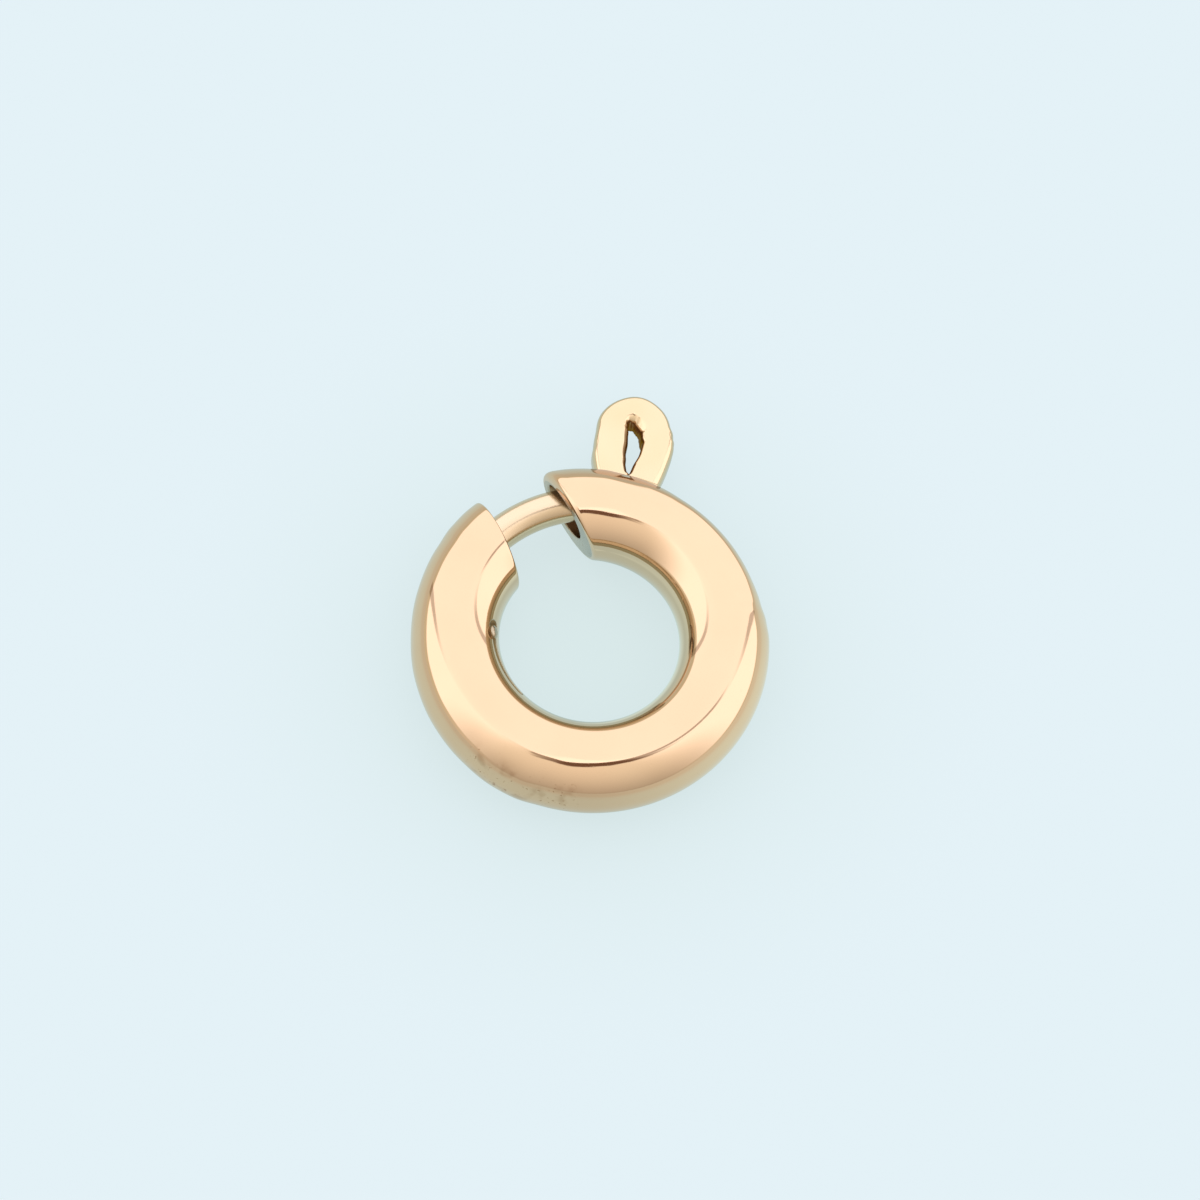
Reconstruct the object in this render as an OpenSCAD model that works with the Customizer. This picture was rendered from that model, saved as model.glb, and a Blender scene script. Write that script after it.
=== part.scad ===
// Round carabiner clasp: a hollow ring with a gap, closed by a sprung bolt inside the tube,
// with a wire loop soldered to its rim. The ring lies flat on z = 0, its axis is the Z axis,
// and the loop points along +Y. Angles run anticlockwise from +X, seen from above.

/* [Ring] */
// Width across the ring, without the loop
ring_w = 12; // [11.8:0.2:12.2]
// Thickness of the tube that the ring is bent from
tube_d = 3; // [2.9:0.05:3.1]
// Width of the hollow inside the tube
bore_d = 1.9; // [1.85:0.05:1.95]
// How much nearer the outer wall the hollow lies, because bending thins that wall
bore_shift = 0.2; // [0.15:0.05:0.25]

/* [Gap] */
// Where the tube ends on the side that catches the bolt
catch_end = 110.9; // [109:0.1:113]
// How far that end is turned from square to the tube
catch_turn = 22.1; // [18:0.1:26]
// How far that end leans out over the gap at the top
catch_lean = 3.5; // [0:0.5:5]
// Where the tube ends on the side that the bolt slides out of
bolt_end = 143.9; // [142:0.1:146]
// How far that end is turned from square to the tube, the other way
bolt_end_turn = 15.4; // [12:0.1:19]

/* [Bolt] */
// Thickness of the bolt's wire
bolt_d = 1.15; // [1.1:0.05:1.2]
// Radius that the bolt is bent to
bolt_bend_r = 4.75; // [4.7:0.05:4.8]
// How far the centre of that bend lies from the ring's axis
bolt_off = 0.22; // [0.15:0.01:0.25]
// Which way it lies from the axis
bolt_off_dir = 60; // [50:1:70]
// Where the bolt's tip is when closed, inside the catch end
tip_angle = 104; // [103.5:0.1:105]
// Where the bolt's tail is when closed
tail_angle = 238; // [232:1:244]

/* [Thumb stud] */
// Where the stud is when closed
stud_angle = 193.8; // [192:0.1:195]
// How far the stud and its slot rise above the ring's mid-plane
stud_rise = 29; // [27:0.5:31]
// Width of the stud's head
stud_head_d = 0.44; // [0.4:0.01:0.46]
// Height of the stud's head
stud_head_h = 0.1; // [0.08:0.01:0.12]
// Thickness of the stud's shank
stud_shank_d = 0.16; // [0.14:0.01:0.17]
// Width of the slot that the shank slides in
slot_w = 0.22; // [0.21:0.01:0.24]
// Width of the hole at the slot's closed end, through which the stud was put in
entry_d = 0.48; // [0.47:0.01:0.52]
// How far round the ring the bolt slides
travel = 40; // [38:1:41]

/* [Loop] */
// Thickness of the loop's wire
loop_d = 1.14; // [1.1:0.02:1.2]
// Radius of the loop's bow, at the middle of the wire
bow_r = 0.82; // [0.8:0.01:0.86]
// How far the middle of the bow lies from the ring's axis
bow_out = 7.6; // [7.5:0.05:7.7]
// How far the bow is set over to +X
bow_side = 0; // [0:0.05:0.15]
// Radius of the bend of the leg beside the gap
left_leg_r = 4; // [3.6:0.1:4.4]
// Radius of the bend of the other leg
right_leg_r = 6; // [5:0.1:7]

/* [Hidden] */

$fn = 96;
gold = [0.91, 0.72, 0.52];
polished_wire = [0.94, 0.78, 0.6];

// Room left between moving pieces
play = 0.03;
// How far a cutter runs past what it cuts
past = 0.4;

tube_r = tube_d / 2;
ring_r = ring_w / 2 - tube_r;
mid_z = tube_r;
bore_r = bore_d / 2;
bore_ring_r = ring_r + bore_shift;

// The solid web inside the tube, under the loop, that stops the bolt's tip
web_to = tip_angle - 3;
web_from = web_to - 14;

// Cutters for the gap, each a little over half its width
cut_depth = 1.5;
cut_side = tube_d + 2;

// The stud stands on the bolt's wire, whose middle is this far from the ring's axis there
stud_swing = stud_angle - bolt_off_dir;
stud_root_r = bolt_off * cos(stud_swing) + sqrt(pow(bolt_bend_r, 2) - pow(bolt_off * sin(stud_swing), 2));
// Distance along the stud from the middle of the wire to the ring's inner wall
root_in = stud_root_r - ring_r;
stud_reach = root_in * cos(stud_rise) + sqrt(pow(tube_r, 2) - pow(root_in * sin(stud_rise), 2));
slot_from = stud_angle - 3.8;
slot_to = stud_angle + travel + 1;
slot_end_d = 0.9 * slot_w;

// The legs sink this far below the ring's rim
leg_sink = 0.25;
leg_foot = ring_w / 2 - leg_sink;
left_leg_arc = asin((bow_out - leg_foot) / left_leg_r);
right_leg_arc = asin((bow_out - leg_foot) / right_leg_r);

// The bolt's tip narrows by this much all round, over the same length
chamfer = 0.2;

// The angle round the bolt's own centre of a place at an angle round the ring's axis
function own_angle(angle) = angle - asin(bolt_off * sin(bolt_off_dir - angle) / bolt_bend_r);

// A round bar of radius r, bent to radius bend, from one angle to another
module bent_bar(bend, r, from, to) {
    rotate([0, 0, from])
        rotate_extrude(angle = to - from)
            translate([bend, 0]) circle(r = r);
}

// Places its children on the bolt's wire at an angle, with +Z along the stud
module on_stud(angle) {
    rotate([0, 0, angle])
        translate([stud_root_r, 0, mid_z])
            rotate([0, stud_rise - 90, 0]) children();
}

// A block that trims the tube at an angle, on the side that side points to
module end_cutter(angle, turn, lean, side) {
    rotate([0, 0, angle])
        translate([ring_r, 0, mid_z])
            rotate([0, 0, turn])
                rotate([lean, 0, 0])
                    translate([-cut_side / 2, side > 0 ? 0 : -cut_depth, -cut_side / 2])
                        cube([cut_side, cut_depth, cut_side]);
}

module hollow() {
    translate([0, 0, mid_z])
        bent_bar(bore_ring_r, bore_r, web_to, 360 + web_from);
}

// The slot runs from the entry hole to a little further than the shank travels
module slot() {
    depth = stud_reach + past - bore_r / 2;
    rotate([0, 0, slot_from])
        rotate_extrude(angle = slot_to - slot_from)
            translate([stud_root_r, mid_z])
                rotate(180 - stud_rise)
                    translate([bore_r / 2, -slot_w / 2]) square([depth, slot_w]);
    on_stud(slot_from) translate([0, 0, bore_r / 2]) cylinder(d = entry_d, h = depth);
    on_stud(slot_to) translate([0, 0, bore_r / 2]) cylinder(d = slot_end_d, h = depth);
}

module loop() {
    translate([bow_side, bow_out, mid_z]) {
        bent_bar(bow_r, loop_d / 2, 0, 180);
        translate([left_leg_r - bow_r, 0, 0])
            bent_bar(left_leg_r, loop_d / 2, 180, 180 + left_leg_arc);
        translate([bow_r - right_leg_r, 0, 0])
            bent_bar(right_leg_r, loop_d / 2, -right_leg_arc, 0);
    }
}

module ring_body() {
    color(gold)
        difference() {
            union() {
                translate([0, 0, mid_z]) bent_bar(ring_r, tube_r, 0, 360);
                loop();
            }
            hollow();
            slot();
            end_cutter(catch_end, catch_turn, -catch_lean, 1);
            end_cutter(bolt_end, -bolt_end_turn, 0, -1);
        }
}

// The stud's outline from its root in the wire to its head, turned about its own axis
module stud() {
    neck = stud_reach + play;
    rotate_extrude()
        polygon([
            [0, 0],
            [stud_shank_d / 2, 0],
            [stud_shank_d / 2, neck],
            [stud_head_d / 2, neck],
            [stud_head_d / 2, neck + stud_head_h / 2],
            [stud_head_d / 4, neck + stud_head_h],
            [0, neck + stud_head_h],
        ]);
}

module latch_bolt() {
    tip = own_angle(tip_angle);
    color(polished_wire) {
        translate([bolt_off * cos(bolt_off_dir), bolt_off * sin(bolt_off_dir), mid_z]) {
            bent_bar(bolt_bend_r, bolt_d / 2, tip, own_angle(tail_angle));
            rotate([0, 0, tip]) translate([bolt_bend_r, 0, 0]) rotate([90, 0, 0])
                cylinder(d1 = bolt_d, d2 = bolt_d - 2 * chamfer, h = chamfer);
        }
        on_stud(stud_angle) stud();
    }
}

ring_body();
latch_bolt();
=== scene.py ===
import math

import bpy
import bmesh
from mathutils import Matrix, Vector


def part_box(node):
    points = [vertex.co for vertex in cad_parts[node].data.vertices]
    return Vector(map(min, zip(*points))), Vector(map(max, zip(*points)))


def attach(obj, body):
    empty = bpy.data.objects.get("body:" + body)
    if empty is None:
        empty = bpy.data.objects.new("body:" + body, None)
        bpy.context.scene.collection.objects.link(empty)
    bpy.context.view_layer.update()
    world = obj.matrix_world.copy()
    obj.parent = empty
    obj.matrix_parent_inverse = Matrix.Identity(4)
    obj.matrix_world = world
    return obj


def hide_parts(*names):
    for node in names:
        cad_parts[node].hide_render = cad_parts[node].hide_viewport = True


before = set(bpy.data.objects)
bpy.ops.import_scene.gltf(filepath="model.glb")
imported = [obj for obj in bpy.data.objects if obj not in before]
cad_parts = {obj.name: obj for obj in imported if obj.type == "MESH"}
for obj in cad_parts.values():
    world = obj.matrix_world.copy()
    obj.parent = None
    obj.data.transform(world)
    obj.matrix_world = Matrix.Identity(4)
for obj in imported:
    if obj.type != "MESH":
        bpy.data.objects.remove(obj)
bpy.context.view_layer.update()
print("frame loaded:", sorted(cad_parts))

mm = 0.001      # points are worked out in millimetres and scaled once, when a mesh is made
weldWithin = 0.00001    # in millimetres
crispFrom = 48  # edges that turn by more degrees than this stay crisp

# The ring lies flat on z = 0 around the origin, so its box gives the tube
ringLow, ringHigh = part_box("ring_body")
tubeRadius = (ringHigh.z - ringLow.z) / 2 / mm
ringRadius = ringHigh.x / mm - tubeRadius  # to the middle of the tube
midHeight = ringLow.z / mm + tubeRadius


# Points, rows and shells

def cosine(degrees):
    return math.cos(math.radians(degrees))


def sine(degrees):
    return math.sin(math.radians(degrees))


def angleOf(up, out):
    return math.degrees(math.atan2(up, out))


def pointOnTube(turn, around, bend, radius):
    # turn goes round the ring, around goes round the tube: 0 outwards, 90 up, both in degrees
    out = bend + radius * cosine(around)
    return Vector((out * cosine(turn), out * sine(turn), midHeight + radius * sine(around)))


def circleOf(middle, radius, a, b, sides):
    turns = [2 * math.pi * k / sides for k in range(sides)]
    return [middle + radius * (a * math.cos(turn) + b * math.sin(turn)) for turn in turns]


def roundedCorner(start, corner, end, steps):
    # the points between start and end of a curve that the corner pulls outwards
    between = []
    for k in range(1, steps):
        t = k / steps
        between.append(start * (1 - t) ** 2 + corner * 2 * t * (1 - t) + end * t ** 2)
    return between


def newShell():
    return {"points": [], "faces": [], "golds": []}


def addRow(shell, points):
    first = len(shell["points"])
    shell["points"].extend(points)
    return list(range(first, first + len(points)))


def addFace(shell, corners, gold):
    shell["faces"].append(tuple(corners))
    shell["golds"].append(gold)


def bridge(shell, rows, gold):
    # faces between closed rows of the same length
    for a, b in zip(rows, rows[1:]):
        for k in range(len(a)):
            n = (k + 1) % len(a)
            addFace(shell, (a[k], a[n], b[n], b[k]), gold)


def rowsBetween(shell, startPoints, cornerPoints, endPoints, steps):
    # closed rows of a rounded edge, without its first and last row
    columns = [roundedCorner(a, c, b, steps) for a, c, b in zip(startPoints, cornerPoints, endPoints)]
    return [addRow(shell, [column[k] for column in columns]) for k in range(steps - 1)]


def newObject(name, data):
    item = bpy.data.objects.new(name, data)
    bpy.context.scene.collection.objects.link(item)
    return item


def makePiece(name, shells, goldNames, body, node):
    mesh = bpy.data.meshes.new(name)
    points, faces, faceGolds = [], [], []
    for shell in shells:
        shift = len(points)
        points.extend([p * mm for p in shell["points"]])
        faces.extend([tuple(c + shift for c in corners) for corners in shell["faces"]])
        faceGolds.extend(shell["golds"])
    mesh.from_pydata(points, [], faces)
    for polygon, gold in zip(mesh.polygons, faceGolds):
        polygon.material_index = goldNames.index(gold)
    work = bmesh.new()
    work.from_mesh(mesh)
    loose = [v for v in work.verts if not v.link_faces]
    bmesh.ops.delete(work, geom=loose, context="VERTS")
    bmesh.ops.remove_doubles(work, verts=work.verts, dist=weldWithin * mm)
    bmesh.ops.recalc_face_normals(work, faces=work.faces)
    openEdges = sum(1 for e in work.edges if not e.is_manifold)
    work.to_mesh(mesh)
    work.free()
    mesh.shade_smooth()
    mesh.set_sharp_from_angle(angle=math.radians(crispFrom))
    for gold in goldNames:
        mesh.materials.append(materials[gold])
    piece = newObject(name, mesh)
    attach(piece, body)
    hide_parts(node)
    print("  %s: %d faces, %d open edges" % (name, len(mesh.polygons), openEdges))


# The ring: a bent tube with two trimmed ends, a hollow and a slot for the stud

ring = {
    "catchEnd": 110.9,      # where the end that catches the bolt is, in degrees round the ring
    "catchTurn": 22.1,      # how far it is turned from square
    "catchLean": -3.5,      # how far it leans over the gap
    "boltEnd": 143.9,       # where the bolt comes out
    "boltEndTurn": -15.4,
    "boltEndLean": 0.0,
    "boreRadius": 0.95,
    "boreShift": 0.2,       # the hollow lies nearer the outer wall
    "webFrom": 87.0,        # solid metal under the loop
    "webTo": 101.0,
    "sides": 96,            # round the tube
    "rowStep": 1.0,         # degrees round the ring
    "fineFrom": 185.0,      # rows lie closer where the entry hole is
    "fineTo": 197.0,
    "fineStep": 0.4,
    "easeOver": 26.0,       # rows near an end ease from its slant to square over this many degrees
    "edgeRounding": 0.1,
    "wornRounding": 0.3,    # more rounding, where the catch end's outer rim is worn
    "wornMiddle": 52.0,     # the middle of that place, in degrees round the tube
    "boreRounding": 0.06,
    # how far the outer side is worn down, in mm, at places round the ring; under 0 it stands out
    "worn": [(0, 0), (12, 0), (18, 0.045), (24, 0.12), (34, 0.15), (50, 0.145), (68, 0.125), (78, 0.055),
             (88, 0), (98, -0.07), (111, -0.09), (144, -0.07), (152, -0.04), (160, 0.02), (176, 0.06),
             (190, 0.07), (206, 0.03), (222, 0), (236, -0.02), (248, -0.06), (257, -0.06), (266, 0),
             (360, 0)],
    "wornSharpness": 4.0,   # how closely the wear keeps to the outermost line
    "swollenSharpness": 2.0,    # the same where it stands out
    # half the width of a flat worn into the upper outer side, in degrees round the tube
    "flat": [(0, 0), (16, 0), (24, 17), (32, 20.5), (45, 19.5), (60, 18.5), (70, 17.5), (78, 14), (88, 5),
             (92, 0), (360, 0)],
    "flatMiddle": 59.5,
    "flatReach": 75.0,      # how far to both sides of its middle the flat's plane is worked out
    "flatWhole": 10.0,      # it has its whole depth from this half width on
    "flatSoftness": 0.012,
    "edgeSteps": 6,         # faces across each rounded edge
    "boreEdgeSteps": 4,
    "faceRows": (0.04, 0.35, 0.65, 0.96),   # where rows of points lie on the end faces
    "farFrom": 12.0,        # this far past the slot the hollow's rows lie further apart
    "farStep": 4.0,
    "pocketRows": 10,
}

roundTube = [360 * k / ring["sides"] for k in range(ring["sides"])]  # in degrees

slotLook = {
    "from": 190.0,          # centre of the entry hole, in degrees round the ring
    "to": 234.8,            # centre of its other end
    "width": 0.22,
    "entryRadius": 0.24,
    "rounding": 0.025,
    "margin": 7.0,          # the rows and columns of the tube that make room for it
    "columns": 12,
    "lipRows": (0.3, 0.55, 0.75, 0.9, 1.0),     # rows of points from there to the slot's lip,
    "lipSteps": 4,                              # over the lip,
    "wallRows": (0.35, 0.7),                    # down the slot's wall
    "floorRows": (0.6, 0.3),                    # and from its foot into the hollow
    "floorAt": 200.0,       # where the middle of its foot is worked out, in degrees round the ring
}


def turnFrom(start, angle):
    # the shorter way from one angle to another, in degrees
    return (angle - start + 180) % 360 - 180


def smoothThrough(table, value):
    # the height at value of a smooth line through the places of a table
    for (low, lowHeight), (high, highHeight) in zip(table, table[1:]):
        if low <= value <= high:
            share = (value - low) / (high - low)
            share *= share * (3 - 2 * share)
            return lowHeight + (highHeight - lowHeight) * share
    return table[-1][1] if value > table[-1][0] else table[0][1]


def outerWear(turn, around):
    outwards = max(0.0, cosine(around))
    depth = smoothThrough(ring["worn"], turn % 360)
    depth *= outwards ** ring["wornSharpness" if depth > 0 else "swollenSharpness"]
    width = smoothThrough(ring["flat"], turn % 360)
    aside = turnFrom(ring["flatMiddle"], around)
    if width > 0 and abs(aside) < ring["flatReach"]:
        deeper = tubeRadius * (1 - cosine(width) / cosine(aside)) - depth
        deeper = (deeper + math.hypot(deeper, ring["flatSoftness"])) / 2
        depth += deeper * min(1.0, width / ring["flatWhole"])
    return depth


def trimmedTurn(around, bend, radius, end, turn, lean):
    # the angle round the ring at which a line along the tube meets the slanted plane of an end
    out, height = bend + radius * cosine(around), radius * sine(around)
    facing = math.radians(end + turn + 90)
    flat, upward = cosine(lean), sine(lean)
    level = ringRadius * flat * math.cos(math.radians(end) - facing)
    swing = math.acos((level - upward * height) / (out * flat))
    return end + min((turnFrom(end, math.degrees(facing + s * swing)) for s in (-1, 1)), key=abs)


def endOfRing(which):
    if which == "bolt":
        return ring["boltEnd"], ring["boltEndTurn"], ring["boltEndLean"], 1
    return ring["catchEnd"] + 360, ring["catchTurn"], ring["catchLean"], -1


def edgeRoundings(which):
    # how far the outer edge is rounded, all round the tube
    worn = ring["wornRounding"] if which == "catch" else 0.0
    return [ring["edgeRounding"] + worn * max(0.0, cosine(around - ring["wornMiddle"])) ** 2
            for around in roundTube]


def edgePoints(which, bend, radius, insets, wear=None):
    # the trimmed edge of one surface, and the same edge moved back along the tube by the insets
    end, turn, lean, into = endOfRing(which)
    edge, back, shifts = [], [], []
    for around, inset in zip(roundTube, insets):
        at = trimmedTurn(around, bend, radius, end, turn, lean)
        behind = at + into * math.degrees(inset / (bend + radius * cosine(around)))
        edge.append(pointOnTube(at, around, bend, radius - (wear(at, around) if wear else 0.0)))
        back.append(pointOnTube(behind, around, bend, radius - (wear(behind, around) if wear else 0.0)))
        shifts.append(behind - end)
    return edge, back, shifts


def tubeRows(shell, bases, bend, radius, startShifts, endShifts, easeOver, wear=None):
    # rows of points along a surface of the tube; startShifts or endShifts slant its first or last row
    rows = []
    for base in bases:
        points = []
        for k, around in enumerate(roundTube):
            turn = base
            if startShifts:
                turn += startShifts[k] * max(0, 1 - abs(base - bases[0]) / easeOver)
            if endShifts:
                turn += endShifts[k] * max(0, 1 - abs(base - bases[-1]) / easeOver)
            worn = wear(turn, around) if wear else 0.0
            points.append(pointOnTube(turn, around, bend, radius - worn))
        rows.append(addRow(shell, points))
    return rows


def openGrid(shell, rows, firstRow, lastRow, firstColumn, lastColumn, gold):
    # bridges rows but leaves a rectangle of them open, and returns its border
    for i, (a, b) in enumerate(zip(rows, rows[1:])):
        for k in range(len(a)):
            if firstRow <= i < lastRow and firstColumn <= k < lastColumn:
                continue
            n = (k + 1) % len(a)
            addFace(shell, (a[k], a[n], b[n], b[k]), gold)
    border = [(firstRow, k) for k in range(firstColumn, lastColumn)]
    border += [(i, lastColumn) for i in range(firstRow, lastRow)]
    border += [(lastRow, k) for k in range(lastColumn, firstColumn, -1)]
    border += [(i, firstColumn) for i in range(lastRow, firstRow, -1)]
    return border


def buildRing():
    shell = newShell()
    boreBend = ringRadius + ring["boreShift"]
    tube = (ringRadius, tubeRadius)
    bore = (boreBend, ring["boreRadius"])
    start, finish = ring["boltEnd"], ring["catchEnd"] + 360
    columnAngle = 360 / ring["sides"]

    # outer surface
    edgeA, backA, shiftA = edgePoints("bolt", *tube, edgeRoundings("bolt"), outerWear)
    edgeB, backB, shiftB = edgePoints("catch", *tube, edgeRoundings("catch"), outerWear)
    bases = []
    stretches = ((start, ring["fineFrom"], "rowStep"), (ring["fineFrom"], ring["fineTo"], "fineStep"),
                 (ring["fineTo"], finish, "rowStep"))
    for low, high, step in stretches:
        count = round((high - low) / ring[step])
        bases += [low + (high - low) * i / count for i in range(count)]
    bases.append(finish)
    outer = tubeRows(shell, bases, *tube, shiftA, shiftB, ring["easeOver"], outerWear)

    def gridTowards(border, bases, places, share, surface):
        # points between the border of an opening in the rows and the places that belong to it
        points = []
        for (row, column), (turn, around) in zip(border, places):
            fromTurn, fromAround = bases[row], column * columnAngle
            points.append(pointOnTube(fromTurn + (turn - fromTurn) * share,
                                      fromAround + (around - fromAround) * share, *surface))
        return points

    # where the slot crosses the outer surface and the hollow
    wallOut, wallUp = cosine(stud["rise"]), -sine(stud["rise"])  # into the metal, in a section of the tube
    rootIn = stud["rootRadius"] - ringRadius
    reach = rootIn * wallOut + math.sqrt(tubeRadius ** 2 - (rootIn * wallUp) ** 2)
    slotOut = rootIn - reach * wallOut
    slotAround = angleOf(-reach * wallUp, slotOut)
    slotSpan = ringRadius + slotOut

    def boreHit(point):
        # follows the slot's wall from a point on the outer surface to the hollow
        out, up = math.hypot(point.x, point.y) - boreBend, point.z - midHeight
        nearest = -out * wallOut - up * wallUp
        way = nearest - math.sqrt(nearest ** 2 - (out ** 2 + up ** 2 - ring["boreRadius"] ** 2))
        return angleOf(up + way * wallUp, out + way * wallOut)

    def intoWall(point, depth):
        turn = math.atan2(point.y, point.x)
        return point + depth * Vector((wallOut * math.cos(turn), wallOut * math.sin(turn), wallUp))

    # slot in the outer surface
    half = slotLook["columns"] // 2
    middle = round(slotAround / columnAngle)
    slotRows = [i for i, base in enumerate(bases)
                if slotLook["from"] - slotLook["margin"] < base < slotLook["to"] + slotLook["margin"]]
    border = openGrid(shell, outer, slotRows[0], slotRows[-1], middle - half, middle + half, "ringGold")

    def outline(offset):
        # the slot's outline, widened by offset: one place for each point of the border
        places = []
        for row, column in border:
            turn, around = bases[row], column * columnAngle
            nearest = min(max(turn, slotLook["from"]), slotLook["to"])
            along = math.radians(turn - nearest) * slotSpan
            across = math.radians(around - slotAround) * tubeRadius
            size = math.hypot(along, across)
            wide = slotLook["width"] / 2 + offset
            entry = slotLook["entryRadius"] + offset
            fromEntry = abs(math.radians(turn - slotLook["from"]) * slotSpan)
            if turn <= slotLook["from"]:
                wide = entry
            elif fromEntry < entry:
                wide = max(wide, math.sqrt(entry ** 2 - fromEntry ** 2))
            places.append((nearest + math.degrees(wide * along / size / slotSpan),
                           slotAround + math.degrees(wide * across / size / tubeRadius)))
        return places

    lip = outline(slotLook["rounding"])
    mouth = [pointOnTube(*place, *tube) for place in outline(0)]
    rows = [[outer[row][column] for row, column in border]]
    for share in slotLook["lipRows"]:
        lipPoints = gridTowards(border, bases, lip, share, tube)
        rows.append(addRow(shell, lipPoints))
    wallTop = [intoWall(p, slotLook["rounding"]) for p in mouth]
    bridge(shell, rows, "ringGold")
    rows = [rows[-1]] + rowsBetween(shell, lipPoints, mouth, wallTop, slotLook["lipSteps"])
    rows.append(addRow(shell, wallTop))
    bridge(shell, rows, "slotGold")

    # hollow on the bolt's side, with the slot's other end
    boreRound = ring["boreRounding"]
    boreInsets = [boreRound] * ring["sides"]
    boreEdgeA, boreBackA, boreShiftA = edgePoints("bolt", *bore, boreInsets)
    closeRows = [base for base in bases if base < slotLook["to"] + ring["farFrom"]]
    webEnd = ring["webFrom"] + 360
    farCount = round((webEnd - closeRows[-1]) / ring["farStep"])
    boreBases = closeRows + [closeRows[-1] + (webEnd - closeRows[-1]) * i / farCount
                             for i in range(1, farCount + 1)]
    inner = tubeRows(shell, boreBases, *bore, boreShiftA, None, ring["easeOver"])
    floorPlaces = [(angleOf(p.y, p.x) % 360, boreHit(p)) for p in mouth]
    boreMiddle = round(boreHit(pointOnTube(slotLook["floorAt"], slotAround, *tube)) / columnAngle)
    boreBorder = openGrid(shell, inner, slotRows[0], slotRows[-1],
                          boreMiddle - half, boreMiddle + half, "boreGold")
    wallRows = [rows[-1]]
    floorPoints = [pointOnTube(*place, *bore) for place in floorPlaces]
    for share in slotLook["wallRows"]:
        wallRows.append(addRow(shell, [a.lerp(b, share) for a, b in zip(wallTop, floorPoints)]))
    wallRows.append(addRow(shell, floorPoints))
    bridge(shell, wallRows, "slotGold")
    rows = [wallRows[-1]]
    for share in slotLook["floorRows"]:
        rows.append(addRow(shell, gridTowards(boreBorder, boreBases, floorPlaces, share, bore)))
    rows.append([inner[row][column] for row, column in boreBorder])
    bridge(shell, rows, "boreGold")
    addFace(shell, inner[-1], "boreGold")

    # short blind hole on the catch's side
    boreEdgeB, boreBackB, boreShiftB = edgePoints("catch", *bore, boreInsets)
    webStart = ring["webTo"] + 360
    depth, count = finish - webStart, ring["pocketRows"]
    catchBases = [finish - depth * i / count for i in range(count + 1)]
    pocket = tubeRows(shell, catchBases, *bore, boreShiftB, None, depth)
    bridge(shell, pocket, "boreGold")
    addFace(shell, pocket[-1], "boreGold")

    # end faces, from the outer edge to the hollow's edge
    ends = (
        ("bolt", outer[0], edgeA, backA, inner[0], boreEdgeA, boreBackA),
        ("catch", outer[-1], edgeB, backB, pocket[0], boreEdgeB, boreBackB),
    )
    for which, outerRow, edge, back, boreRow, boreEdge, boreBack in ends:
        heart = pointOnTube(endOfRing(which)[0], 0, ringRadius, 0)
        boreHeart = sum(boreEdge, Vector()) / len(boreEdge)
        faceRim = [p + (heart - p).normalized() * rounding for p, rounding in zip(edge, edgeRoundings(which))]
        boreRim = [p + (p - boreHeart).normalized() * boreRound for p in boreEdge]
        rows = [outerRow] + rowsBetween(shell, back, edge, faceRim, ring["edgeSteps"])
        rows.append(addRow(shell, faceRim))
        bridge(shell, rows, "ringGold")
        rows = [rows[-1]]
        for share in ring["faceRows"]:
            rows.append(addRow(shell, [a.lerp(b, share) for a, b in zip(faceRim, boreRim)]))
        rows.append(addRow(shell, boreRim))
        rows += rowsBetween(shell, boreRim, boreEdge, boreBack, ring["boreEdgeSteps"])
        rows.append(boreRow)
        bridge(shell, rows, "endGold")
    return shell


# The wire loop, bent from round wire and soldered to the rim

loop = {
    "wireRadius": 0.57,
    "bowRadius": 0.82,
    "bowOut": 7.6,          # centre of the bow, from the ring's axis
    "leftLegRadius": 4.0,
    "rightLegRadius": 6.0,
    "footOut": 5.75,        # the legs end inside the ring's metal
    "solder": 0.03,         # width of the fillet of solder at the foot
    "solderSteps": 6,
    "solderSunk": 0.002,    # how far its edge and its root lie under the ring's surface
    "rootSunk": 0.12,
    "unevenness": 0.008,    # of the wire's thickness, from the pliers
    "waves": [(4.1, 2, 0.0), (6.7, -1, 1.0)],   # radians per mm along it, times round it, and start
    "squareOutside": 3.6,   # how square the wire is: 2 is round
    # the same for the side towards the hole, and the reach of both sides in mm; places are 0 at the
    # left foot, 1 and 2 at the two ends of the bow and 3 at the right foot
    "squareInside": [(0, 5), (1.2, 5), (1.45, 2.6), (1.9, 2.6), (2.1, 5), (3, 5)],
    "reachInside": [(0, 0.59), (0.07, 0.535), (0.2, 0.545), (0.38, 0.6), (0.72, 0.68), (0.95, 0.66),
                    (1.12, 0.58), (1.24, 0.49), (1.31, 0.48), (1.42, 0.56), (1.55, 0.66), (1.7, 0.7),
                    (1.88, 0.68), (2, 0.62), (2.1, 0.555), (2.21, 0.45), (2.45, 0.43), (2.71, 0.48),
                    (2.9, 0.46), (3, 0.55)],
    "reachOutside": [(0, 0.5), (0.26, 0.53), (0.46, 0.535), (0.67, 0.475), (0.94, 0.44), (1.1, 0.47),
                     (1.3, 0.46), (1.5, 0.495), (1.7, 0.46), (1.88, 0.45), (1.96, 0.53), (2.05, 0.6),
                     (2.18, 0.63), (2.32, 0.64), (2.5, 0.64), (3, 0.65)],
    # the wall of the hole, which takes a darker gold as painted shade, from this angle round the wire
    "holeWall": [(0, 131), (1.25, 132), (1.4, 145), (1.85, 146), (2.1, 134), (3, 132)],
    "sides": 72,
    "rows": 130,
    "footReach": 1.4,       # the feet are looked for this far along the wire
    "halvings": 40,
}


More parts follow.
